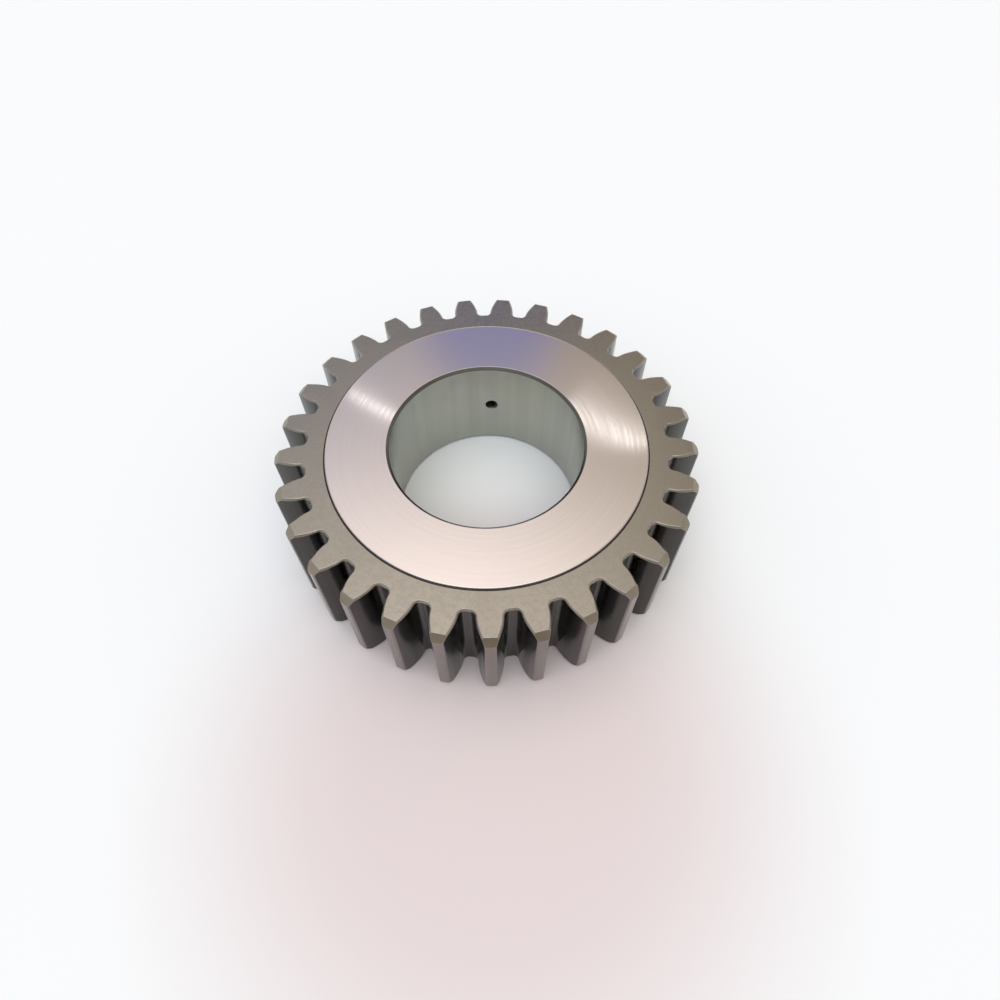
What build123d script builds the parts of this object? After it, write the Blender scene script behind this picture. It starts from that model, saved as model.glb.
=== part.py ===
from build123d import *
import math
import os

# A spur planet gear with plain bore, lying flat on one of its two thrust faces.
# The origin is in the middle of the bore and +Z runs along it.
# A tooth space is centred on +Y, so with an odd count a tooth stands on -Y.
# Lengths are in millimetres and angles in degrees.

# Teeth: an ordinary full-depth involute
module = 4.0
tooth_count = 29
pressure_angle = 20.0
addendum_factor = 1.0
dedendum_factor = 1.25
tooth_thinning = 0.1
root_fillet = 1.5
tooth_width = 34.0

# Breaks on the teeth: the turned cone over each tip corner, and the bevel along the tooth outline
tip_chamfer = 2.0
outline_bevel = 0.5

# Bore and the raised thrust face around it, with the relief groove at the foot of its step
bore_diameter = 57.0
bore_chamfer = 0.8
boss_diameter = 94.0
boss_height = 0.5
boss_chamfer = 0.2
relief_width = 0.45
relief_depth = 0.25

# Oil hole, drilled from the root of the tooth space on +Y to a point beside it in the bore
oil_hole_diameter = 3.5
oil_hole_break = 0.25
oil_hole_lead = 3.4

# Sizes that follow from those
pitch_radius = module * tooth_count / 2
base_radius = pitch_radius * math.cos(math.radians(pressure_angle))
tip_radius = pitch_radius + addendum_factor * module
root_radius = pitch_radius - dedendum_factor * module
bore_radius = bore_diameter / 2
boss_radius = boss_diameter / 2
rim_top = tooth_width / 2
boss_top = rim_top + boss_height
bore_wall_end = boss_top - bore_chamfer
tip_wall_end = rim_top - tip_chamfer
half_pitch = math.pi / tooth_count

# How far the cutting shapes run past the blank, so that no cut ends on a face
overrun = 0.2


def involute(angle):
    return math.tan(angle) - angle


# Angle from the middle of a tooth space to the foot of its flank on the base circle
flank_start = half_pitch / 2 + tooth_thinning / 2 / pitch_radius - involute(math.radians(pressure_angle))

# Roll angle at the end of the root fillet. Below zero it is on the straight foot under the base circle.
fillet_circle = root_radius + root_fillet
foot_roll = math.sqrt(fillet_circle**2 - root_fillet**2) / base_radius - 1
if foot_roll > 0:
    foot_roll = (math.sqrt(fillet_circle**2 - base_radius**2) - root_fillet) / base_radius

# Roll angle where a flank passes the tip circle and leaves the blank
space_mouth_radius = tip_radius / math.cos(half_pitch) + overrun
mouth_roll = math.sqrt((space_mouth_radius / base_radius) ** 2 - 1)

# Circular arcs in one flank. Two follow the involute to about a hundredth of a millimetre.
flank_arcs = 2


def flank_point(roll, widening, side):
    """A point on one flank of the tooth space on +Y, moved into the tooth by the widening."""
    angle = flank_start + max(roll, 0)
    reach = base_radius * (1 + min(roll, 0))
    drop = base_radius * max(roll, 0) - widening
    across = reach * math.sin(angle) - drop * math.cos(angle)
    outward = reach * math.cos(angle) + drop * math.sin(angle)
    return Vector(side * across, outward)


def flank(widening, side):
    """The edges of the involute from the root fillet to the mouth of the space."""
    half_step = (mouth_roll - foot_roll) / flank_arcs / 2
    points = [flank_point(foot_roll + half_step * i, widening, side) for i in range(2 * flank_arcs + 1)]
    return [ThreePointArc(*points[i : i + 3]) for i in range(0, 2 * flank_arcs, 2)]


def fillet_ends(widening, side):
    """The centre of the root fillet, and where it meets the flank and the root circle."""
    centre = flank_point(foot_roll, -root_fillet, side)
    on_flank = flank_point(foot_roll, widening, side)
    on_root = centre.normalized() * (root_radius - widening)
    return centre, on_flank, on_root


def fillet_arc(widening, side):
    """The round between flank and root circle."""
    centre, on_flank, on_root = fillet_ends(widening, side)
    halfway = ((on_flank - centre).normalized() + (on_root - centre).normalized()).normalized()
    return ThreePointArc(on_flank, centre + halfway * (root_fillet + widening), on_root)


def space_section(height, widening):
    """The outline of the tooth space on +Y at one height, grown by the widening on every side."""
    _, _, left_root = fillet_ends(widening, -1)
    _, _, right_root = fillet_ends(widening, 1)
    left_mouth = flank_point(mouth_roll, widening, -1)
    right_mouth = flank_point(mouth_roll, widening, 1)
    outline = Wire(
        [
            *flank(widening, -1),
            fillet_arc(widening, -1),
            ThreePointArc(left_root, Vector(0, root_radius - widening), right_root),
            fillet_arc(widening, 1),
            *flank(widening, 1),
            Line(right_mouth, left_mouth),
        ]
    )
    return Pos(0, 0, height) * Face(outline)


def space_cutter():
    """What is cut away between two teeth: a straight space that flares at 45 degrees at both ends."""
    bevel_foot = rim_top - outline_bevel
    past_end = rim_top + overrun
    widest = outline_bevel + overrun
    sections = [
        space_section(-past_end, widest),
        space_section(-bevel_foot, 0),
        space_section(bevel_foot, 0),
        space_section(past_end, widest),
    ]
    return loft(sections, ruled=True)


def blank_section():
    """The turned blank's section: bore, boss, relief groove, rim and tip chamfer, mirrored below."""
    relief_floor = rim_top - relief_depth
    relief_edge = boss_radius + relief_width
    upper = Polyline(
        (bore_radius, 0, bore_wall_end),
        (bore_radius + bore_chamfer, 0, boss_top),
        (boss_radius - boss_chamfer, 0, boss_top),
        (boss_radius, 0, boss_top - boss_chamfer),
        (boss_radius, 0, relief_floor),
        (relief_edge - relief_depth, 0, relief_floor),
        (relief_edge, 0, rim_top),
        (tip_radius - tip_chamfer, 0, rim_top),
        (tip_radius, 0, tip_wall_end),
    )
    lower = mirror(upper, Plane.XY)
    bore_wall = Line((bore_radius, 0, bore_wall_end), (bore_radius, 0, -bore_wall_end))
    tip_wall = Line((tip_radius, 0, tip_wall_end), (tip_radius, 0, -tip_wall_end))
    return make_face([*upper.edges(), *lower.edges(), bore_wall, tip_wall])


def oil_hole():
    """The drilled oil hole with its broken edge in the bore."""
    mouth_angle = math.radians(90 - oil_hole_lead)
    mouth = Vector(bore_radius * math.cos(mouth_angle), bore_radius * math.sin(mouth_angle))
    outlet = Vector(0, root_radius)
    run = outlet - mouth
    radius = oil_hole_diameter / 2
    at_mouth = Plane(origin=mouth, z_dir=run)
    lead_in = bore_radius / 2
    drill_length = lead_in + run.length + root_fillet
    from_start = (Align.CENTER, Align.CENTER, Align.MIN)
    drill = at_mouth * Pos(0, 0, -lead_in) * Cylinder(radius, drill_length, align=from_start)
    edge_break = Cone(radius + 2 * oil_hole_break, radius, 2 * oil_hole_break, align=from_start)
    return drill + at_mouth * Pos(0, 0, -oil_hole_break) * edge_break


def planet_gear():
    """The finished gear: the blank, less a space for each tooth, less the oil hole."""
    blank = revolve(blank_section(), Axis.Z)
    cutter = space_cutter()
    turn = 360 / tooth_count
    spaces = [Rot(0, 0, turn * i) * cutter for i in range(tooth_count)]
    return blank - spaces - oil_hole()


os.makedirs("parts", exist_ok=True)
export_step(planet_gear(), "parts/planet_gear.step")
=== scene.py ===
"""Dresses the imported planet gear: a modelled gear in ground and hardened steel on a pale studio floor.

The gear keeps the sizes and the place of its CAD solid. Its form is worked out in millimetres and scaled to
metres once.
"""

from __future__ import annotations

import logging
import math
from collections.abc import Callable, Sequence
from dataclasses import dataclass, field
from enum import Enum, IntEnum
from typing import Union

import bmesh
import bpy
from mathutils import Euler, Matrix, Vector

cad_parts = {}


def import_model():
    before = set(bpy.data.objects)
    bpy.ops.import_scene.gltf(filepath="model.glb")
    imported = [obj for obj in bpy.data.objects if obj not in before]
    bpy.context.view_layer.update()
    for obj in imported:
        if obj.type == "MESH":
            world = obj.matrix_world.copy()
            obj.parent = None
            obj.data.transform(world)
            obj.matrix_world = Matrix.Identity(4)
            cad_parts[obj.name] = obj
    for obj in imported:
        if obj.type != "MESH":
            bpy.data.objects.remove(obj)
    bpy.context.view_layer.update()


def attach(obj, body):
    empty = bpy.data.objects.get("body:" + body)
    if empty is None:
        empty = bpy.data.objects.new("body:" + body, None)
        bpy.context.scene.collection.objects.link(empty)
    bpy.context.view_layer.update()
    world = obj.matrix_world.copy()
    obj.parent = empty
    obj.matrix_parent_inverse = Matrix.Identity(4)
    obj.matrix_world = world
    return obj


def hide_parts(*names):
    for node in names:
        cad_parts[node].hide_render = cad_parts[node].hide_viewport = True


METRES_PER_MM = 0.001
RIGHT_ANGLE = 90.0
CAD_NODE = "planet_gear"
BODY = "root"
LOG = logging.getLogger("planet_gear")

# How near to each other two points of a form count as one, in millimetres
HAIR = 1e-4
WELD_REACH = 1e-3
SEAM_REACH = 2e-3

# Flat steps in the circle that the teeth share with the hub, for each tooth
STEPS_PER_TOOTH = 5

# A bevel's profile that makes a round when it has more than one step
ROUND_PROFILE = 0.5

# The numbers of the Mix node's sockets for colours
MIX_SHARE, MIX_FIRST, MIX_SECOND = 0, 6, 7
MIX_RESULT = 2

Colour = tuple[float, float, float]
Coordinates = tuple[float, float, float]

# What a shader input takes: a plain value, a colour with its alpha, a vector or another node's output
Feed = Union[float, tuple[float, ...], Vector, bpy.types.NodeSocket]


class Surface(IntEnum):
    """The gear's machined surfaces, in the order of its material slots."""

    THRUST_FACE = 0
    BORE = 1
    RIM_FACE = 2
    FLANK = 3
    TIP_LAND = 4
    TIP_FACET = 5
    BROKEN_EDGE = 6
    RELIEF = 7
    OIL_HOLE = 8
    BORE_MOUTH = 9
    OUTLINE_BEVEL = 10


class Lay(Enum):
    """Which way the tool marks of a surface run."""

    CONCENTRIC = "concentric"
    LENGTHWISE = "lengthwise"
    EVEN = "even"


@dataclass(frozen=True)
class GearSizes:
    """The gear's driving sizes, in millimetres and degrees.

    A tooth stands on -Y, so that a tooth space is centred on +Y.
    """

    module: float = 4.0
    tooth_count: int = 29
    pressure_angle: float = 20.0
    addendum: float = 4.0
    dedendum: float = 5.0
    tooth_thinning: float = 0.1
    root_fillet: float = 1.5
    tooth_width: float = 34.0
    tip_chamfer: float = 2.0
    outline_bevel: float = 0.5
    bore_diameter: float = 57.0
    bore_chamfer: float = 0.8
    boss_diameter: float = 94.0
    boss_step: float = 0.5
    boss_chamfer: float = 0.2
    relief_width: float = 0.45
    relief_depth: float = 0.25
    oil_hole_diameter: float = 3.5
    oil_hole_break: float = 0.25
    oil_hole_lead: float = 3.4
    tip_round: float = 0.45
    tooth_edge_round: float = 0.12
    hub_edge_round: float = 0.09

    @property
    def pitch_radius(self) -> float:
        """Radius of the pitch circle."""
        return self.module * self.tooth_count / 2

    @property
    def base_radius(self) -> float:
        """Radius of the circle that the involutes unroll from."""
        return self.pitch_radius * math.cos(math.radians(self.pressure_angle))

    @property
    def tip_radius(self) -> float:
        """Radius over the tooth tips."""
        return self.pitch_radius + self.addendum

    @property
    def root_radius(self) -> float:
        """Radius at the bottom of the tooth spaces."""
        return self.pitch_radius - self.dedendum

    @property
    def half_pitch(self) -> float:
        """Half the angle of one tooth and its space, in radians."""
        return math.pi / self.tooth_count

    @property
    def rim_height(self) -> float:
        """Height of the rim's end face over the middle plane."""
        return self.tooth_width / 2

    @property
    def boss_height(self) -> float:
        """Height of the thrust face over the middle plane."""
        return self.rim_height + self.boss_step

    @property
    def bore_radius(self) -> float:
        """Radius of the bore."""
        return self.bore_diameter / 2

    @property
    def boss_radius(self) -> float:
        """Radius of the raised thrust face."""
        return self.boss_diameter / 2

    @property
    def relief_edge(self) -> float:
        """Radius where the relief groove ends and the rim face begins."""
        return self.boss_radius + self.relief_width


def turned(point: Vector, angle: float) -> Vector:
    """Turns a point about the bore's axis.

    Args:
        point: The point.
        angle: The turn in radians, anticlockwise seen from +Z.

    Returns:
        The turned point.
    """
    return Matrix.Rotation(angle, 3, "Z") @ point


def break_edges(
    form: bmesh.types.BMesh, edges: list[bmesh.types.BMEdge], size: float, steps: int
) -> list[bmesh.types.BMFace]:
    """Bevels or rounds edges.

    Args:
        form: The mesh that holds the edges.
        edges: The edges to break.
        size: The width of the break on each side of its edge.
        steps: 1 for a flat bevel and more for a round.

    Returns:
        The new faces.
    """
    made = bmesh.ops.bevel(
        form,
        geom=edges,
        offset=size,
        segments=steps,
        profile=ROUND_PROFILE,
        affect="EDGES",
        clamp_overlap=True,
        material=-1,
    )
    return made["faces"]


@dataclass
class ToothedRim:
    """The ring of teeth outside the relief grooves, made of one tooth that is spun around the bore.

    The steps are the flat pieces in each stretch of half a tooth space. A wall of the tooth is part of the
    tip land where its middle is less than the tip margin under the tip circle.
    """

    sizes: GearSizes
    root_steps: int = 2
    fillet_steps: int = 5
    flank_steps: int = 9
    tip_steps: int = 2
    tip_round_steps: int = 3
    tip_margin: float = 0.1

    def flank_point(self, roll: float, inset: float = 0.0) -> Vector:
        """Finds a point on the flank to the left of the space on +Y.

        Args:
            roll: Roll angle of the involute. Below zero it runs down the straight foot under the base circle.
            inset: Distance off the flank into the space.

        Returns:
            The point on the middle plane.
        """
        s = self.sizes
        pressure = math.radians(s.pressure_angle)
        foot = s.half_pitch / 2 + s.tooth_thinning / 2 / s.pitch_radius - (math.tan(pressure) - pressure)
        angle = foot + max(roll, 0.0)
        reach = s.base_radius * (1 + min(roll, 0.0))
        drop = s.base_radius * max(roll, 0.0) + inset
        across = reach * math.sin(angle) - drop * math.cos(angle)
        return Vector((-across, reach * math.cos(angle) + drop * math.sin(angle), 0.0))

    def half_space(self) -> list[Vector]:
        """Draws half a tooth space, from the middle of its root to the tip of the tooth on its left.

        Returns:
            The points in order.
        """
        s = self.sizes
        fillet_circle = s.root_radius + s.root_fillet
        foot = math.sqrt(fillet_circle**2 - s.root_fillet**2) / s.base_radius - 1
        if foot > 0:
            foot = (math.sqrt(fillet_circle**2 - s.base_radius**2) - s.root_fillet) / s.base_radius
        tip = math.sqrt((s.tip_radius / s.base_radius) ** 2 - 1)
        centre = self.flank_point(foot, s.root_fillet)
        to_root = centre.normalized() * -s.root_fillet
        to_flank = self.flank_point(foot) - centre
        sweep = to_root.angle(to_flank)
        side = 1.0 if to_root.cross(to_flank).z > 0 else -1.0
        root_angle = math.atan2(-centre.x, centre.y)
        root_middle = Vector((0.0, s.root_radius, 0.0))
        root_turns = [root_angle * step / self.root_steps for step in range(self.root_steps)]
        fillet_turns = [side * sweep * step / self.fillet_steps for step in range(self.fillet_steps)]
        rolls = [foot + (tip - foot) * step / self.flank_steps for step in range(self.flank_steps + 1)]
        root = [turned(root_middle, turn) for turn in root_turns]
        fillet = [centre + turned(to_root, turn) for turn in fillet_turns]
        return root + fillet + [self.flank_point(roll) for roll in rolls]

    def outline(self) -> list[Vector]:
        """Draws one tooth on +Y with half a space on each side and the arc behind it.

        Returns:
            The points of the closed outline.
        """
        s = self.sizes
        right = [turned(point, -s.half_pitch) for point in self.half_space()]
        corner = math.atan2(right[-1].x, right[-1].y)
        turns = [corner * (1 - step / self.tip_steps) for step in range(1, self.tip_steps)]
        tips = [turned(Vector((0.0, s.tip_radius, 0.0)), -turn) for turn in turns]
        tips += [Vector((-point.x, point.y, 0.0)) for point in reversed(tips) if point.x > HAIR]
        left = [Vector((-point.x, point.y, 0.0)) for point in reversed(right)]
        arc = [s.half_pitch * (1 - 2 * step / STEPS_PER_TOOTH) for step in range(STEPS_PER_TOOTH + 1)]
        inner = [turned(Vector((0.0, s.relief_edge, 0.0)), turn) for turn in arc]
        return right + tips + left + inner

    def build(self, form: bmesh.types.BMesh) -> None:
        """Makes the whole ring of teeth.

        Args:
            form: The mesh that the ring is made in.
        """
        s = self.sizes
        self._raise_tooth(form)
        for end in (1.0, -1.0):
            self._face_tip(form, end)
        turn = 2 * math.pi / s.tooth_count
        everything = form.verts[:] + form.edges[:] + form.faces[:]
        bmesh.ops.rotate(form, verts=form.verts, matrix=Matrix.Rotation(math.pi, 3, "Z"))
        bmesh.ops.spin(
            form,
            geom=everything,
            axis=(0.0, 0.0, 1.0),
            angle=turn * (s.tooth_count - 1),
            steps=s.tooth_count - 1,
            use_duplicate=True,
        )
        bmesh.ops.remove_doubles(form, verts=form.verts, dist=WELD_REACH)
        self._bevel_outline(form)
        self._round_tips(form)

    def _raise_tooth(self, form: bmesh.types.BMesh) -> None:
        """Extrudes one tooth from its outline, open where it joins its neighbours and the hub.

        Args:
            form: The mesh that the tooth is made in.
        """
        s = self.sizes
        foot = [form.verts.new(point - Vector((0.0, 0.0, s.rim_height))) for point in self.outline()]
        base = form.faces.new(foot)
        base.material_index = Surface.RIM_FACE
        raised = bmesh.ops.extrude_face_region(form, geom=[base], use_keep_orig=True)
        top = [item for item in raised["geom"] if isinstance(item, bmesh.types.BMVert)]
        bmesh.ops.translate(form, verts=top, vec=(0.0, 0.0, s.tooth_width))
        seams = []
        for wall in form.faces:
            middle = wall.calc_center_median()
            if abs(middle.z) > s.rim_height / 2:
                continue
            at_side = abs(abs(math.atan2(middle.x, middle.y)) - s.half_pitch) < HAIR
            if at_side or middle.xy.length < s.relief_edge:
                seams.append(wall)
            on_tip = middle.xy.length > s.tip_radius - self.tip_margin
            wall.material_index = Surface.TIP_LAND if on_tip else Surface.FLANK
        bmesh.ops.delete(form, geom=seams, context="FACES")

    def _face_tip(self, form: bmesh.types.BMesh, end: float) -> None:
        """Cuts the turned facet over the tip corner at one end of the tooth.

        Args:
            form: The mesh that holds the tooth.
            end: 1 for the upper end and -1 for the lower one.
        """
        s = self.sizes
        cut = bmesh.ops.bisect_plane(
            form,
            geom=form.verts[:] + form.edges[:] + form.faces[:],
            dist=HAIR,
            plane_co=(0.0, s.tip_radius - s.tip_chamfer, end * s.rim_height),
            plane_no=(0.0, 1.0, end),
            clear_outer=True,
        )
        rim = [item for item in cut["geom_cut"] if isinstance(item, bmesh.types.BMEdge)]
        facet = bmesh.ops.contextual_create(form, geom=rim)["faces"]
        for face in facet:
            face.material_index = Surface.TIP_FACET

    def _bevel_outline(self, form: bmesh.types.BMesh) -> None:
        """Breaks the edge between the end faces and the tooth spaces.

        Args:
            form: The mesh that holds the ring of teeth.
        """
        s = self.sizes
        edges = []
        for edge in form.edges:
            at_end = all(abs(abs(vert.co.z) - s.rim_height) < WELD_REACH for vert in edge.verts)
            beside = {face.material_index for face in edge.link_faces}
            if at_end and beside == {Surface.RIM_FACE, Surface.FLANK}:
                edges.append(edge)
        for face in break_edges(form, edges, s.outline_bevel, steps=1):
            face.material_index = Surface.OUTLINE_BEVEL

    def _round_tips(self, form: bmesh.types.BMesh) -> None:
        """Rounds the two long edges of every tip land.

        Args:
            form: The mesh that holds the ring of teeth.
        """
        edges = []
        for edge in form.edges:
            if {face.material_index for face in edge.link_faces} == {Surface.TIP_LAND, Surface.FLANK}:
                edges.append(edge)
        for face in break_edges(form, edges, self.sizes.tip_round, self.tip_round_steps):
            face.material_index = Surface.TIP_LAND


@dataclass
class Hub:
    """The inside of the gear: both thrust faces with their relief grooves, and the bore."""

    sizes: GearSizes

    def section(self) -> list[tuple[Vector, Surface]]:
        """Draws the hub's section from the upper rim face to the lower one.

        Returns:
            Each corner as radius and height, with the surface that begins there.
        """
        s = self.sizes
        floor = s.rim_height - s.relief_depth
        upper = [
            (s.relief_edge, s.rim_height, Surface.RIM_FACE),
            (s.relief_edge - s.relief_depth, floor, Surface.RELIEF),
            (s.boss_radius, floor, Surface.RELIEF),
            (s.boss_radius, s.boss_height - s.boss_chamfer, Surface.THRUST_FACE),
            (s.boss_radius - s.boss_chamfer, s.boss_height, Surface.THRUST_FACE),
            (s.bore_radius + s.bore_chamfer, s.boss_height, Surface.BORE_MOUTH),
            (s.bore_radius, s.boss_height - s.bore_chamfer, Surface.BORE),
        ]
        corners = [(Vector((radius, height)), surface) for radius, height, surface in upper]
        below = [Vector((radius, -height)) for radius, height, _ in reversed(upper)]
        surfaces = [surface for _, _, surface in reversed(upper[:-1])] + [Surface.RELIEF]
        return corners + list(zip(below, surfaces))

    def build(self, form: bmesh.types.BMesh) -> None:
        """Turns the hub from its section.

        Args:
            form: The mesh that the hub is made in.
        """
        section = self.section()
        start = math.pi + self.sizes.half_pitch
        verts = [form.verts.new(turned(Vector((0.0, corner.x, corner.y)), start)) for corner, _ in section]
        edges = [form.edges.new(pair) for pair in zip(verts, verts[1:])]
        before = set(form.faces)
        bmesh.ops.spin(
            form,
            geom=verts + edges,
            axis=(0.0, 0.0, 1.0),
            angle=2 * math.pi,
            steps=STEPS_PER_TOOTH * self.sizes.tooth_count,
            use_merge=True,
        )
        for face in set(form.faces) - before:
            face.material_index = self._surface_of(face, section)

    def _surface_of(self, face: bmesh.types.BMFace, section: list[tuple[Vector, Surface]]) -> Surface:
        """Finds which surface of the section a turned face belongs to.

        Args:
            face: The turned face.
            section: The hub's section.

        Returns:
            The face's surface.
        """
        corners = {self._rounded(vert.co.xy.length, vert.co.z) for vert in face.verts}
        for (start, surface), (end, _) in zip(section, section[1:]):
            if corners == {self._rounded(*start), self._rounded(*end)}:
                return surface
        return Surface.BORE

    @staticmethod
    def _rounded(radius: float, height: float) -> tuple[float, float]:
        """Rounds a corner's place to the hundredth of a millimetre.

        Args:
            radius: The corner's radius.
            height: The corner's height.

        Returns:
            Both, rounded.
        """
        return round(radius, 2), round(height, 2)


@dataclass
class OilHole:
    """The drill that makes the oil hole from the root of the space on +Y into the bore, with its edge break.

    It starts at its lead-in inside the bore and ends at its run-out past the root.
    """

    sizes: GearSizes
    steps: int = 40
    lead_in: float = 12.0
    run_out: float = 3.0

    def build(self, form: bmesh.types.BMesh) -> None:
        """Turns the drill about its own axis and lays it in the gear.

        Args:
            form: The mesh that the drill is made in.
        """
        s = self.sizes
        mouth = turned(Vector((0.0, s.bore_radius, 0.0)), -math.radians(s.oil_hole_lead))
        run = Vector((0.0, s.root_radius, 0.0)) - mouth
        radius = s.oil_hole_diameter / 2
        wide = radius + 2 * s.oil_hole_break
        section = [
            (0.0, -self.lead_in),
            (wide, -self.lead_in),
            (wide, -s.oil_hole_break),
            (radius, s.oil_hole_break),
            (radius, run.length + self.run_out),
            (0.0, run.length + self.run_out),
        ]
        verts = [form.verts.new((across, 0.0, along)) for across, along in section]
        edges = [form.edges.new(pair) for pair in zip(verts, verts[1:])]
        bmesh.ops.spin(
            form,
            geom=verts + edges,
            axis=(0.0, 0.0, 1.0),
            angle=2 * math.pi,
            steps=self.steps,
            use_merge=True,
        )
        bmesh.ops.remove_doubles(form, verts=form.verts, dist=HAIR)
        place = Matrix.Translation(mouth) @ run.to_track_quat("Z", "X").to_matrix().to_4x4()
        bmesh.ops.transform(form, matrix=place, verts=form.verts)
        bmesh.ops.recalc_face_normals(form, faces=form.faces)
        for face in form.faces:
            face.material_index = Surface.OIL_HOLE
            face.smooth = True


class NodeSheet:
    """Adds nodes to one node tree and joins them."""

    def __init__(self, tree: bpy.types.NodeTree) -> None:
        """Starts on an empty tree.

        Args:
            tree: The node tree to fill.
        """
        self.tree = tree
        tree.nodes.clear()

    def add(
        self, kind: str, inputs: dict[str | int, Feed] | None = None, **settings: object
    ) -> bpy.types.Node:
        """Adds a node.

        Args:
            kind: The node's type, without the ShaderNode prefix unless it starts with Node.
            inputs: Values or output sockets for its inputs, by name or number.
            settings: The node's own properties.

        Returns:
            The node.
        """
        node = self.tree.nodes.new(kind if kind.startswith("Node") else "ShaderNode" + kind)
        for name, value in settings.items():
            setattr(node, name, value)
        for key, value in (inputs or {}).items():
            socket = node.inputs[key]
            if isinstance(value, bpy.types.NodeSocket):
                self.tree.links.new(value, socket)
            else:
                socket.default_value = value
        return node

    def calc(self, operation: str, *terms: Feed) -> bpy.types.NodeSocket:
        """Adds a Math node.

        Args:
            operation: The Math node's operation.
            terms: Its inputs in order.

        Returns:
            Its output.
        """
        return self.add("Math", dict(enumerate(terms)), operation=operation).outputs[0]

    def remap(self, value: Feed, low: Feed, high: Feed, to_low: Feed, to_high: Feed) -> bpy.types.NodeSocket:
        """Maps a range of values smoothly to another and clamps it.

        Args:
            value: The output to map.
            low: Where the first range starts.
            high: Where it ends.
            to_low: What its start becomes.
            to_high: What its end becomes.

        Returns:
            The mapped output.
        """
        inputs = {"Value": value, "From Min": low, "From Max": high, "To Min": to_low, "To Max": to_high}
        return self.add("MapRange", inputs, interpolation_type="SMOOTHSTEP").outputs[0]

    def blend(self, share: Feed, first: Feed, second: Feed) -> bpy.types.NodeSocket:
        """Mixes two colours.

        Args:
            share: The second colour's share, from 0 to 1.
            first: A colour or an output.
            second: A colour or an output.

        Returns:
            The mixed colour.
        """
        node = self.add("Mix", {MIX_SHARE: share, MIX_FIRST: first, MIX_SECOND: second}, data_type="RGBA")
        return node.outputs[MIX_RESULT]


def rgba(colour: Colour) -> tuple[float, float, float, float]:
    """Gives a colour its full alpha.

    Args:
        colour: Red, green and blue.

    Returns:
        The colour with its alpha.
    """
    return (*colour, 1.0)


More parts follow.
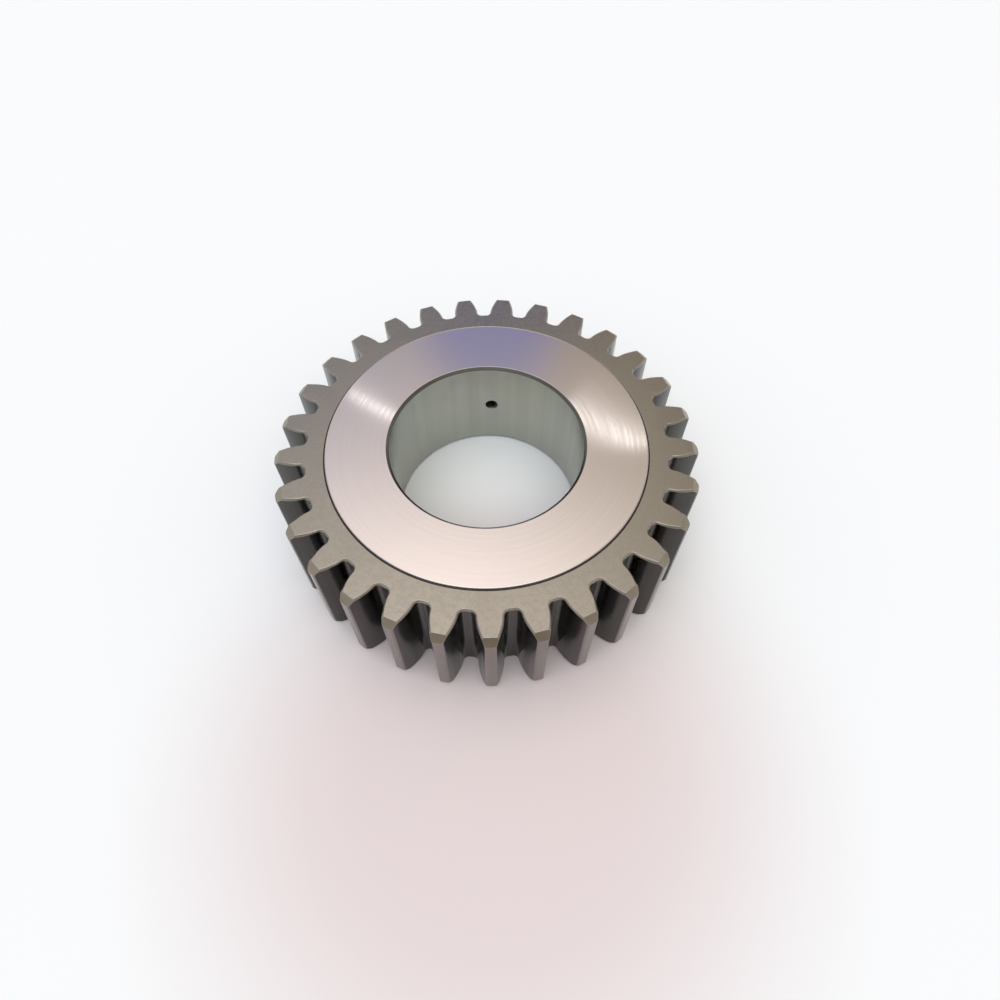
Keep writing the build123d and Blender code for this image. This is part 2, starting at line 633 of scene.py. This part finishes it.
class ToolMarks:
    """Shader groups for the marks that more than one finish has: cut lines, even grit and stains.

    Fine marks give the height and most of the shade. Broad marks are coarser ones that give the rest of the
    shade. The shade runs from 0 to 1 between its low and its high value.
    """

    FINE_DETAIL = 4.0
    FINE_ROUGHNESS = 0.65
    FINE_SHARE = 0.6
    BROAD_SCALE = 0.23
    BROAD_DETAIL = 2.0
    BROAD_SHARE = 0.4
    SHADE_LOW = 0.32
    SHADE_HIGH = 0.68
    STAIN_DETAIL = 5.0
    STAIN_DISTORTION = 0.6
    # A concentric line changes along its run as fast as a straight one at this radius in millimetres
    RUN_RADIUS = 40.0

    def __init__(self) -> None:
        """Builds the groups once."""
        self.groups = {
            Lay.CONCENTRIC: self._lines("concentric_marks", self._around),
            Lay.LENGTHWISE: self._lines("lengthwise_marks", self._along),
            Lay.EVEN: self._lines("even_grit", self._evenly),
        }
        self.stain = self._stain()

    @staticmethod
    def _open(
        name: str, inputs: dict[str, float], outputs: tuple[str, ...]
    ) -> tuple[NodeSheet, bpy.types.Node]:
        """Makes a group with its sockets.

        Args:
            name: The group's name.
            inputs: Its number inputs with their first values.
            outputs: Its number outputs.

        Returns:
            The sheet to fill and the group's input node.
        """
        tree = bpy.data.node_groups.new(name, "ShaderNodeTree")
        for label, value in inputs.items():
            socket = tree.interface.new_socket(label, in_out="INPUT", socket_type="NodeSocketFloat")
            socket.default_value = value
        for label in outputs:
            tree.interface.new_socket(label, in_out="OUTPUT", socket_type="NodeSocketFloat")
        sheet = NodeSheet(tree)
        return sheet, sheet.add("NodeGroupInput")

    @staticmethod
    def _place(sheet: NodeSheet) -> bpy.types.NodeSocket:
        """Reads the object's coordinates in millimetres.

        Args:
            sheet: The group's nodes.

        Returns:
            The coordinates.
        """
        metres = sheet.add("TexCoord").outputs["Object"]
        return sheet.add("VectorMath", {0: metres, "Scale": 1 / METRES_PER_MM}, operation="SCALE").outputs[0]

    def _around(self, sheet: NodeSheet, across: Feed, along: Feed) -> bpy.types.NodeSocket:
        """Lays out coordinates whose lines run round the bore.

        Args:
            sheet: The group's nodes.
            across: Marks in a millimetre across the lines.
            along: Marks in a millimetre along the lines.

        Returns:
            The coordinates.
        """
        split = sheet.add("SeparateXYZ", {0: self._place(sheet)})
        flat = sheet.add("CombineXYZ", {"X": split.outputs["X"], "Y": split.outputs["Y"]}).outputs[0]
        radius = sheet.add("VectorMath", {0: flat}, operation="LENGTH").outputs["Value"]
        heading = sheet.add("VectorMath", {0: flat}, operation="NORMALIZE").outputs[0]
        run = sheet.calc("MULTIPLY", along, self.RUN_RADIUS)
        turn = sheet.add("SeparateXYZ", {0: self._scaled(sheet, heading, run)})
        lines = sheet.calc("MULTIPLY", sheet.calc("ADD", radius, split.outputs["Z"]), across)
        layout = {"X": lines, "Y": turn.outputs["X"], "Z": turn.outputs["Y"]}
        return sheet.add("CombineXYZ", layout).outputs[0]

    def _along(self, sheet: NodeSheet, across: Feed, along: Feed) -> bpy.types.NodeSocket:
        """Lays out coordinates whose lines run the length of the gear.

        Args:
            sheet: The group's nodes.
            across: Marks in a millimetre across the lines.
            along: Marks in a millimetre along the lines.

        Returns:
            The coordinates.
        """
        split = sheet.add("SeparateXYZ", {0: self._place(sheet)})
        scaled = [sheet.calc("MULTIPLY", split.outputs[axis], across) for axis in ("X", "Y")]
        height = sheet.calc("MULTIPLY", split.outputs["Z"], along)
        return sheet.add("CombineXYZ", {"X": scaled[0], "Y": scaled[1], "Z": height}).outputs[0]

    def _evenly(self, sheet: NodeSheet, across: Feed, _: Feed) -> bpy.types.NodeSocket:
        """Lays out coordinates with no direction of their own.

        Args:
            sheet: The group's nodes.
            across: Marks in a millimetre, which is the same every way.

        Returns:
            The coordinates.
        """
        return self._scaled(sheet, self._place(sheet), across)

    @staticmethod
    def _scaled(sheet: NodeSheet, vector: Feed, scale: Feed) -> bpy.types.NodeSocket:
        """Scales a vector.

        Args:
            sheet: The group's nodes.
            vector: The vector.
            scale: Its factor.

        Returns:
            The scaled vector.
        """
        return sheet.add("VectorMath", {0: vector, "Scale": scale}, operation="SCALE").outputs[0]

    def _lines(
        self, name: str, layout: Callable[[NodeSheet, Feed, Feed], bpy.types.NodeSocket]
    ) -> bpy.types.NodeTree:
        """Builds one group of marks.

        Args:
            name: The group's name.
            layout: The method that lays out its coordinates.

        Returns:
            The group, which puts out the marks' height and shade from 0 to 1.
        """
        sheet, given = self._open(name, {"Across": 3.0, "Along": 0.05}, ("Height", "Shade"))
        place = layout(sheet, given.outputs["Across"], given.outputs["Along"])
        fine_look = {"Scale": 1.0, "Detail": self.FINE_DETAIL, "Roughness": self.FINE_ROUGHNESS}
        broad_look = {"Scale": self.BROAD_SCALE, "Detail": self.BROAD_DETAIL}
        fine = sheet.add("TexNoise", {"Vector": place, **fine_look}).outputs["Fac"]
        broad = sheet.add("TexNoise", {"Vector": place, **broad_look}).outputs["Fac"]
        fine_part = sheet.calc("MULTIPLY", fine, self.FINE_SHARE)
        broad_part = sheet.calc("MULTIPLY", broad, self.BROAD_SHARE)
        shade = sheet.calc("ADD", fine_part, broad_part)
        spread = sheet.remap(shade, self.SHADE_LOW, self.SHADE_HIGH, 0.0, 1.0)
        sheet.add("NodeGroupOutput", {"Height": fine, "Shade": spread})
        return sheet.tree

    def _stain(self) -> bpy.types.NodeTree:
        """Builds the group for oil film and heat colour, which puts out one mask.

        Returns:
            The group.
        """
        sheet, given = self._open("stain", {"Scale": 0.08, "Start": 0.45, "End": 0.7}, ("Mask",))
        place, scale = self._place(sheet), given.outputs["Scale"]
        look = {"Detail": self.STAIN_DETAIL, "Distortion": self.STAIN_DISTORTION}
        cloud = sheet.add("TexNoise", {"Vector": place, "Scale": scale, **look}).outputs["Fac"]
        mask = sheet.remap(cloud, given.outputs["Start"], given.outputs["End"], 0.0, 1.0)
        sheet.add("NodeGroupOutput", {"Mask": mask})
        return sheet.tree


@dataclass(frozen=True)
class SteelFinish:
    """How one machined surface looks.

    The marks are lines or grit with a count per millimetre across and along their lay. Their depth is in
    millimetres.
    """

    name: str
    colour: Colour
    mark_colour: Colour
    stain_colour: Colour
    roughness: float
    lay: Lay
    across: float
    along: float = 0.02
    roughness_spread: float = 0.05
    mark_share: float = 0.5
    mark_depth: float = 0.002
    stain_share: float = 0.3
    stain_scale: float = 0.06
    anisotropy: float = 0.0
    anisotropy_turn: float = 0.0
    metallic: float = 1.0

    def build(self, marks: ToolMarks) -> bpy.types.Material:
        """Makes the finish's material.

        Args:
            marks: The shared shader groups.

        Returns:
            The material.
        """
        material = bpy.data.materials.new(self.name)
        material.use_nodes = True
        sheet = NodeSheet(material.node_tree)
        lines = sheet.add("Group", node_tree=marks.groups[self.lay])
        lines.inputs["Across"].default_value = self.across
        lines.inputs["Along"].default_value = self.along
        stain = sheet.add("Group", node_tree=marks.stain)
        stain.inputs["Scale"].default_value = self.stain_scale
        mark_part = sheet.calc("MULTIPLY", lines.outputs["Shade"], self.mark_share)
        stain_part = sheet.calc("MULTIPLY", stain.outputs["Mask"], self.stain_share)
        marked = sheet.blend(mark_part, rgba(self.colour), rgba(self.mark_colour))
        stained = sheet.blend(stain_part, marked, rgba(self.stain_colour))
        low, high = self.roughness - self.roughness_spread, self.roughness + self.roughness_spread
        roughness = sheet.remap(lines.outputs["Shade"], 0.0, 1.0, low, high)
        bump = sheet.add(
            "Bump",
            {"Height": lines.outputs["Height"], "Distance": self.mark_depth * METRES_PER_MM, "Strength": 1.0},
        )
        shader = sheet.add(
            "BsdfPrincipled",
            {
                "Base Color": stained,
                "Metallic": self.metallic,
                "Roughness": roughness,
                "Normal": bump.outputs["Normal"],
                "Anisotropic": self.anisotropy,
                "Anisotropic Rotation": self.anisotropy_turn,
            },
        )
        if self.anisotropy:
            tangent = sheet.add("Tangent", direction_type="RADIAL", axis="Z")
            sheet.tree.links.new(tangent.outputs[0], shader.inputs["Tangent"])
        sheet.add("OutputMaterial", {"Surface": shader.outputs[0]})
        return material


GEAR_FINISHES: dict[Surface, SteelFinish] = {
    Surface.THRUST_FACE: SteelFinish(
        name="ground_thrust_face",
        colour=(0.62, 0.575, 0.55),
        mark_colour=(0.58, 0.535, 0.51),
        stain_colour=(0.60, 0.55, 0.53),
        roughness=0.11,
        roughness_spread=0.015,
        lay=Lay.CONCENTRIC,
        across=5.0,
        mark_depth=0.0006,
        anisotropy=0.8,
        anisotropy_turn=0.25,
    ),
    # The bore's lengthwise marks lay soft vertical bands of lighter and darker colour: partly polish marks,
    # partly painted reflection bands
    Surface.BORE: SteelFinish(
        name="honed_bore",
        colour=(0.42, 0.425, 0.37),
        mark_colour=(0.31, 0.315, 0.27),
        stain_colour=(0.32, 0.325, 0.295),
        roughness=0.21,
        roughness_spread=0.02,
        lay=Lay.LENGTHWISE,
        across=0.30,
        along=0.004,
        mark_share=0.4,
        mark_depth=0.0005,
        anisotropy=0.8,
        anisotropy_turn=0.25,
    ),
    Surface.RIM_FACE: SteelFinish(
        name="carburised_rim_face",
        colour=(0.31, 0.293, 0.25),
        mark_colour=(0.265, 0.248, 0.21),
        stain_colour=(0.255, 0.235, 0.21),
        roughness=0.26,
        lay=Lay.EVEN,
        across=2.6,
        mark_depth=0.012,
    ),
    # The flanks' very dark colour paints the shade in the tooth spaces
    Surface.FLANK: SteelFinish(
        name="ground_flanks",
        colour=(0.062, 0.06, 0.055),
        mark_colour=(0.045, 0.043, 0.039),
        stain_colour=(0.038, 0.036, 0.033),
        roughness=0.22,
        roughness_spread=0.04,
        lay=Lay.LENGTHWISE,
        across=2.0,
        mark_depth=0.0025,
    ),
    Surface.TIP_LAND: SteelFinish(
        name="turned_tip_lands",
        colour=(0.25, 0.23, 0.22),
        mark_colour=(0.19, 0.172, 0.165),
        stain_colour=(0.155, 0.14, 0.13),
        roughness=0.24,
        lay=Lay.LENGTHWISE,
        across=1.6,
        mark_depth=0.004,
    ),
    Surface.TIP_FACET: SteelFinish(
        name="turned_tip_facets",
        colour=(0.32, 0.28, 0.22),
        mark_colour=(0.20, 0.165, 0.12),
        stain_colour=(0.15, 0.12, 0.085),
        roughness=0.28,
        lay=Lay.CONCENTRIC,
        across=3.0,
        mark_depth=0.006,
    ),
    Surface.BROKEN_EDGE: SteelFinish(
        name="broken_edges",
        colour=(0.34, 0.319, 0.281),
        mark_colour=(0.255, 0.238, 0.204),
        stain_colour=(0.221, 0.204, 0.17),
        roughness=0.36,
        lay=Lay.EVEN,
        across=1.8,
        mark_depth=0.004,
    ),
    # The relief groove's dark colour paints the shade in the groove
    Surface.RELIEF: SteelFinish(
        name="relief_groove",
        colour=(0.16, 0.13, 0.13),
        mark_colour=(0.11, 0.09, 0.09),
        stain_colour=(0.09, 0.07, 0.07),
        roughness=0.45,
        lay=Lay.CONCENTRIC,
        across=6.0,
    ),
    Surface.OIL_HOLE: SteelFinish(
        name="drilled_oil_hole",
        colour=(0.20, 0.19, 0.17),
        mark_colour=(0.14, 0.13, 0.12),
        stain_colour=(0.10, 0.09, 0.08),
        roughness=0.5,
        lay=Lay.EVEN,
        across=2.0,
    ),
    # The bore mouth chamfer's dark colour paints shade round the mouth of the bore
    Surface.BORE_MOUTH: SteelFinish(
        name="bore_mouth_chamfer",
        colour=(0.14, 0.14, 0.12),
        mark_colour=(0.11, 0.11, 0.095),
        stain_colour=(0.09, 0.09, 0.08),
        roughness=0.28,
        lay=Lay.CONCENTRIC,
        across=3.0,
    ),
    Surface.OUTLINE_BEVEL: SteelFinish(
        name="tooth_outline_bevel",
        colour=(0.336, 0.312, 0.264),
        mark_colour=(0.272, 0.248, 0.208),
        stain_colour=(0.24, 0.216, 0.176),
        roughness=0.30,
        lay=Lay.EVEN,
        across=1.8,
        mark_depth=0.004,
    ),
}


@dataclass
class PlanetGear:
    """The whole gear: ring of teeth, hub and oil hole, in one piece.

    Edges sharper than the sharp angle are rounded. The seam margin counts the edges at the outside of the
    relief groove with those of the hub.
    """

    sizes: GearSizes = field(default_factory=GearSizes)
    sharp_angle: float = math.radians(27.0)
    edge_round_steps: int = 2
    seam_margin: float = 0.01

    def build(self, marks: ToolMarks) -> bpy.types.Object:
        """Models and dresses the gear, and puts it in its CAD node's place.

        Args:
            marks: The shared shader groups.

        Returns:
            The gear's object.
        """
        piece = self._object("planet_gear_steel", self._body())
        for surface in Surface:
            piece.data.materials.append(GEAR_FINISHES[surface].build(marks))
        self._drill(piece)
        piece.data.shade_smooth()
        piece.data.set_sharp_from_angle(angle=self.sharp_angle)
        weighted = piece.modifiers.new("face_weighted_normals", "WEIGHTED_NORMAL")
        weighted.keep_sharp = True
        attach(piece, BODY)
        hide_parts(CAD_NODE)
        return piece

    def _body(self) -> bmesh.types.BMesh:
        """Joins teeth and hub, rounds every sharp edge and scales the form to metres.

        Returns:
            The undrilled gear.
        """
        form = bmesh.new()
        ToothedRim(self.sizes).build(form)
        Hub(self.sizes).build(form)
        bmesh.ops.remove_doubles(form, verts=form.verts, dist=SEAM_REACH)
        bmesh.ops.recalc_face_normals(form, faces=form.faces)
        LOG.info("open edges %d", sum(not edge.is_manifold for edge in form.edges))
        hub_reach = self.sizes.relief_edge + self.seam_margin
        for face in self._round_edges(form, hub_reach, math.inf, self.sizes.tooth_edge_round):
            face.material_index = Surface.BROKEN_EDGE
        self._round_edges(form, 0.0, hub_reach, self.sizes.hub_edge_round)
        bmesh.ops.scale(form, vec=(METRES_PER_MM,) * 3, verts=form.verts)
        return form

    def _round_edges(
        self, form: bmesh.types.BMesh, inner: float, outer: float, size: float
    ) -> list[bmesh.types.BMFace]:
        """Rounds the sharp edges that lie between two radii.

        Args:
            form: The gear.
            inner: The smaller radius.
            outer: The larger radius.
            size: The width of the round on each side of its edge.

        Returns:
            The new faces.
        """
        sharp = []
        for edge in form.edges:
            between = all(inner <= vert.co.xy.length < outer for vert in edge.verts)
            if between and edge.is_manifold and edge.calc_face_angle() > self.sharp_angle:
                sharp.append(edge)
        return break_edges(form, sharp, size, self.edge_round_steps)

    def _drill(self, piece: bpy.types.Object) -> None:
        """Cuts the oil hole out of the gear.

        Args:
            piece: The gear's object.
        """
        form = bmesh.new()
        OilHole(self.sizes).build(form)
        bmesh.ops.scale(form, vec=(METRES_PER_MM,) * 3, verts=form.verts)
        drill = self._object("oil_hole_drill", form)
        for material in piece.data.materials:
            drill.data.materials.append(material)
        cut = piece.modifiers.new("oil_hole", "BOOLEAN")
        cut.operation = "DIFFERENCE"
        cut.solver = "EXACT"
        cut.object = drill
        graph = bpy.context.evaluated_depsgraph_get()
        drilled = bpy.data.meshes.new_from_object(piece.evaluated_get(graph))
        piece.modifiers.clear()
        undrilled = piece.data
        piece.data = drilled
        bpy.data.meshes.remove(undrilled)
        bpy.data.objects.remove(drill)

    @staticmethod
    def _object(name: str, form: bmesh.types.BMesh) -> bpy.types.Object:
        """Turns a form into an object in the scene.

        Args:
            name: The object's name.
            form: The form, which is freed.

        Returns:
            The object.
        """
        mesh = bpy.data.meshes.new(name)
        form.to_mesh(mesh)
        form.free()
        piece = bpy.data.objects.new(name, mesh)
        bpy.context.scene.collection.objects.link(piece)
        return piece


@dataclass(frozen=True)
class CameraView:
    """The photograph's camera. Its place and nearest sight are in millimetres and its turn is in degrees."""

    place: Coordinates = (0.608, -125.191, 184.304)
    turn: Coordinates = (32.83127, 0.30163, -1.30695)
    lens: float = 25.674
    sensor: float = 36.0
    shift: tuple[float, float] = (0.0047, -0.0082)
    nearest: float = 5.0

    def build(self) -> bpy.types.Object:
        """Makes the camera and gives it to the scene.

        Returns:
            The camera.
        """
        data = bpy.data.cameras.new("camera")
        data.lens = self.lens
        data.sensor_width = self.sensor
        data.shift_x, data.shift_y = self.shift
        data.clip_start = self.nearest * METRES_PER_MM
        camera = bpy.data.objects.new("camera", data)
        camera.location = Vector(self.place) * METRES_PER_MM
        camera.rotation_euler = Euler([math.radians(angle) for angle in self.turn])
        bpy.context.scene.collection.objects.link(camera)
        bpy.context.scene.camera = camera
        return camera


def heading_of(azimuth: float, elevation: float) -> Vector:
    """Finds the direction from the gear to a place in the room.

    Args:
        azimuth: The place's angle from +X, anticlockwise seen from above, in degrees.
        elevation: Its angle over the floor, in degrees.

    Returns:
        The direction, of length one.
    """
    around, up = math.radians(azimuth), math.radians(elevation)
    return Vector((math.cos(up) * math.cos(around), math.cos(up) * math.sin(around), math.sin(up)))


@dataclass(frozen=True)
class Lamp:
    """A tube lamp that points at the gear. Angles are in degrees, the rest in metres and watts.

    The tilt turns the tube anticlockwise from level, seen from the gear.
    """

    name: str
    azimuth: float
    elevation: float
    distance: float
    length: float
    width: float
    tilt: float
    power: float
    colour: Colour = (1.0, 1.0, 1.0)

    def build(self) -> bpy.types.Object:
        """Hangs the lamp.

        Returns:
            The lamp.
        """
        data = bpy.data.lights.new(self.name, "AREA")
        data.shape = "RECTANGLE"
        data.size, data.size_y = self.length, self.width
        data.energy = self.power
        data.color = self.colour
        lamp = bpy.data.objects.new(self.name, data)
        heading = heading_of(self.azimuth, self.elevation)
        lamp.location = heading * self.distance
        tilt = Matrix.Rotation(math.radians(self.tilt), 3, "Z")
        lamp.rotation_euler = (heading.to_track_quat("Z", "Y").to_matrix() @ tilt).to_euler()
        bpy.context.scene.collection.objects.link(lamp)
        return lamp


@dataclass(frozen=True)
class SkyPatch:
    """An oval soft patch of the room's light.

    Azimuth and elevation give its middle and width and height its half sizes, in degrees. The softness is the
    share of the half size over which it fades.
    """

    azimuth: float
    elevation: float
    width: float
    height: float
    softness: float
    colour: Colour

    def lay_over(self, sheet: NodeSheet, heading: Feed, under: Feed) -> bpy.types.NodeSocket:
        """Lays the patch over the light under it.

        Args:
            sheet: The world's nodes.
            heading: The direction of view.
            under: The colour under the patch.

        Returns:
            The colour with the patch.
        """
        sideways = heading_of(self.azimuth + RIGHT_ANGLE, 0.0)
        upwards = heading_of(self.azimuth, self.elevation + RIGHT_ANGLE)
        offsets = []
        for axis, reach in ((sideways, self.width), (upwards, self.height)):
            offset = sheet.add("VectorMath", {0: heading, 1: axis}, operation="DOT_PRODUCT").outputs["Value"]
            offsets.append(sheet.calc("DIVIDE", offset, math.sin(math.radians(reach))))
        place = sheet.add("CombineXYZ", {"X": offsets[0], "Y": offsets[1]}).outputs[0]
        spread = sheet.add("VectorMath", {0: place}, operation="LENGTH").outputs["Value"]
        share = sheet.remap(spread, 1.0 - self.softness, 1.0, 1.0, 0.0)
        return sheet.blend(share, under, rgba(self.colour))


# The large soft light overhead, which the near half of the thrust face mirrors
CEILING_LIGHT = SkyPatch(
    azimuth=125.0, elevation=80.0, width=42.0, height=42.0, softness=0.8, colour=(1.9, 1.75, 1.66)
)

# The soft light high in front, which lights the floor, the rim and the breaks on the near teeth
FRONT_LIGHT = SkyPatch(
    azimuth=270.0, elevation=66.0, width=50.0, height=26.0, softness=0.6, colour=(2.3, 2.37, 2.4)
)

# The dim brown part of the room in front, which the near tip facets mirror
DIM_FRONT = SkyPatch(
    azimuth=270.0, elevation=27.0, width=60.0, height=10.0, softness=0.5, colour=(0.26, 0.19, 0.12)
)

# The blue card behind, which the far side of the thrust face mirrors
BLUE_CARD = SkyPatch(
    azimuth=89.5, elevation=37.0, width=8.5, height=17.0, softness=0.5, colour=(0.36, 0.37, 0.63)
)

# The tubes that make the two light streaks on the thrust face
LEFT_TUBE = Lamp(
    "left_tube", azimuth=104.3, elevation=49.4, distance=3.0, length=0.3, width=0.03, tilt=-40.0, power=0.06
)
RIGHT_TUBE = Lamp(
    "right_tube", azimuth=74.3, elevation=51.2, distance=3.0, length=0.4, width=0.035, tilt=-14.0, power=0.18
)


@dataclass(frozen=True)
class Studio:
    """The pale floor, the soft light of the room and the two tube lamps behind the gear, in metres.

    The floor has a round, warm painted shadow in front of the gear. It is even in its core and fades out at
    its reach.
    The room has a pale horizon up to the low angle and a glow from the high angle on, both in degrees. The
    glow's left and right colours meet within the glow turn, a share of the room's radius on each side.
    """

    sizes: GearSizes = field(default_factory=GearSizes)
    floor_radius: float = 4.0
    floor_steps: int = 96
    floor_roughness: float = 0.6
    floor_gloss: float = 0.2
    floor_colour: Colour = (0.94, 0.98, 1.0)
    # Painted shadow: a warm, darker colour in a round patch on the floor in front of the gear
    floor_painted_shadow: Colour = (0.79, 0.71, 0.715)
    painted_shadow_centre: Coordinates = (0.0, -0.085, 0.0)
    painted_shadow_core: float = 0.11 / 3
    painted_shadow_reach: float = 0.11
    glow_left: Colour = (0.52, 0.515, 0.61)
    glow_right: Colour = (0.50, 0.43, 0.345)
    glow_turn: float = 0.25
    horizon: Colour = (0.86, 0.865, 0.87)
    horizon_low: float = 18.0
    horizon_high: float = 30.0
    patches: tuple[SkyPatch, ...] = (CEILING_LIGHT, FRONT_LIGHT, DIM_FRONT, BLUE_CARD)
    lamps: tuple[Lamp, ...] = (LEFT_TUBE, RIGHT_TUBE)

    def build(self) -> None:
        """Sets up floor, tube lamps, room light and colour handling."""
        self._floor()
        for lamp in self.lamps:
            lamp.build()
        self._room()
        bpy.context.scene.view_settings.view_transform = "Standard"

    def _floor(self) -> bpy.types.Object:
        """Makes the round floor that the gear lies on.

        Returns:
            The floor.
        """
        form = bmesh.new()
        bmesh.ops.create_circle(form, cap_ends=True, radius=self.floor_radius, segments=self.floor_steps)
        underside = -self.sizes.boss_height * METRES_PER_MM
        bmesh.ops.translate(form, verts=form.verts, vec=(0.0, 0.0, underside))
        mesh = bpy.data.meshes.new("studio_floor")
        form.to_mesh(mesh)
        form.free()
        floor = bpy.data.objects.new("studio_floor", mesh)
        bpy.context.scene.collection.objects.link(floor)
        material = bpy.data.materials.new("studio_floor")
        material.use_nodes = True
        sheet = NodeSheet(material.node_tree)
        place = sheet.add("TexCoord").outputs["Object"]
        # Paints the shadow in front of the gear: full in its core, fading out at its reach
        away = sheet.add("VectorMath", {0: place, 1: self.painted_shadow_centre}, operation="DISTANCE").outputs["Value"]
        share = sheet.remap(away, self.painted_shadow_core, self.painted_shadow_reach, 1.0, 0.0)
        colour = sheet.blend(share, rgba(self.floor_colour), rgba(self.floor_painted_shadow))
        surface = {"Roughness": self.floor_roughness, "Specular IOR Level": self.floor_gloss}
        shader = sheet.add("BsdfPrincipled", {"Base Color": colour, **surface})
        sheet.add("OutputMaterial", {"Surface": shader.outputs[0]})
        mesh.materials.append(material)
        return floor

    def _room(self) -> None:
        """Lights the room: the pale horizon, the glow of both sides above it and the patches over those."""
        world = bpy.data.worlds.new("room")
        bpy.context.scene.world = world
        world.use_nodes = True
        sheet = NodeSheet(world.node_tree)
        heading = sheet.add("TexCoord").outputs["Generated"]
        split = sheet.add("SeparateXYZ", {0: heading})
        side = sheet.remap(split.outputs["X"], -self.glow_turn, self.glow_turn, 0.0, 1.0)
        glow = sheet.blend(side, rgba(self.glow_left), rgba(self.glow_right))
        low, high = (math.sin(math.radians(angle)) for angle in (self.horizon_low, self.horizon_high))
        height = sheet.remap(split.outputs["Z"], low, high, 0.0, 1.0)
        colour = sheet.blend(height, rgba(self.horizon), glow)
        for patch in self.patches:
            colour = patch.lay_over(sheet, heading, colour)
        background = sheet.add("Background", {"Color": colour, "Strength": 1.0})
        sheet.add("OutputWorld", {"Surface": background.outputs[0]})


def main() -> None:
    """Builds the gear and the studio in order and logs how many faces the gear has."""
    logging.basicConfig(level=logging.INFO, format="%(name)s: %(message)s")
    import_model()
    gear = PlanetGear().build(ToolMarks())
    LOG.info("%s: %d faces", gear.name, len(gear.data.polygons))
    Studio().build()
    CameraView().build()


if __name__ == "__main__":
    main()
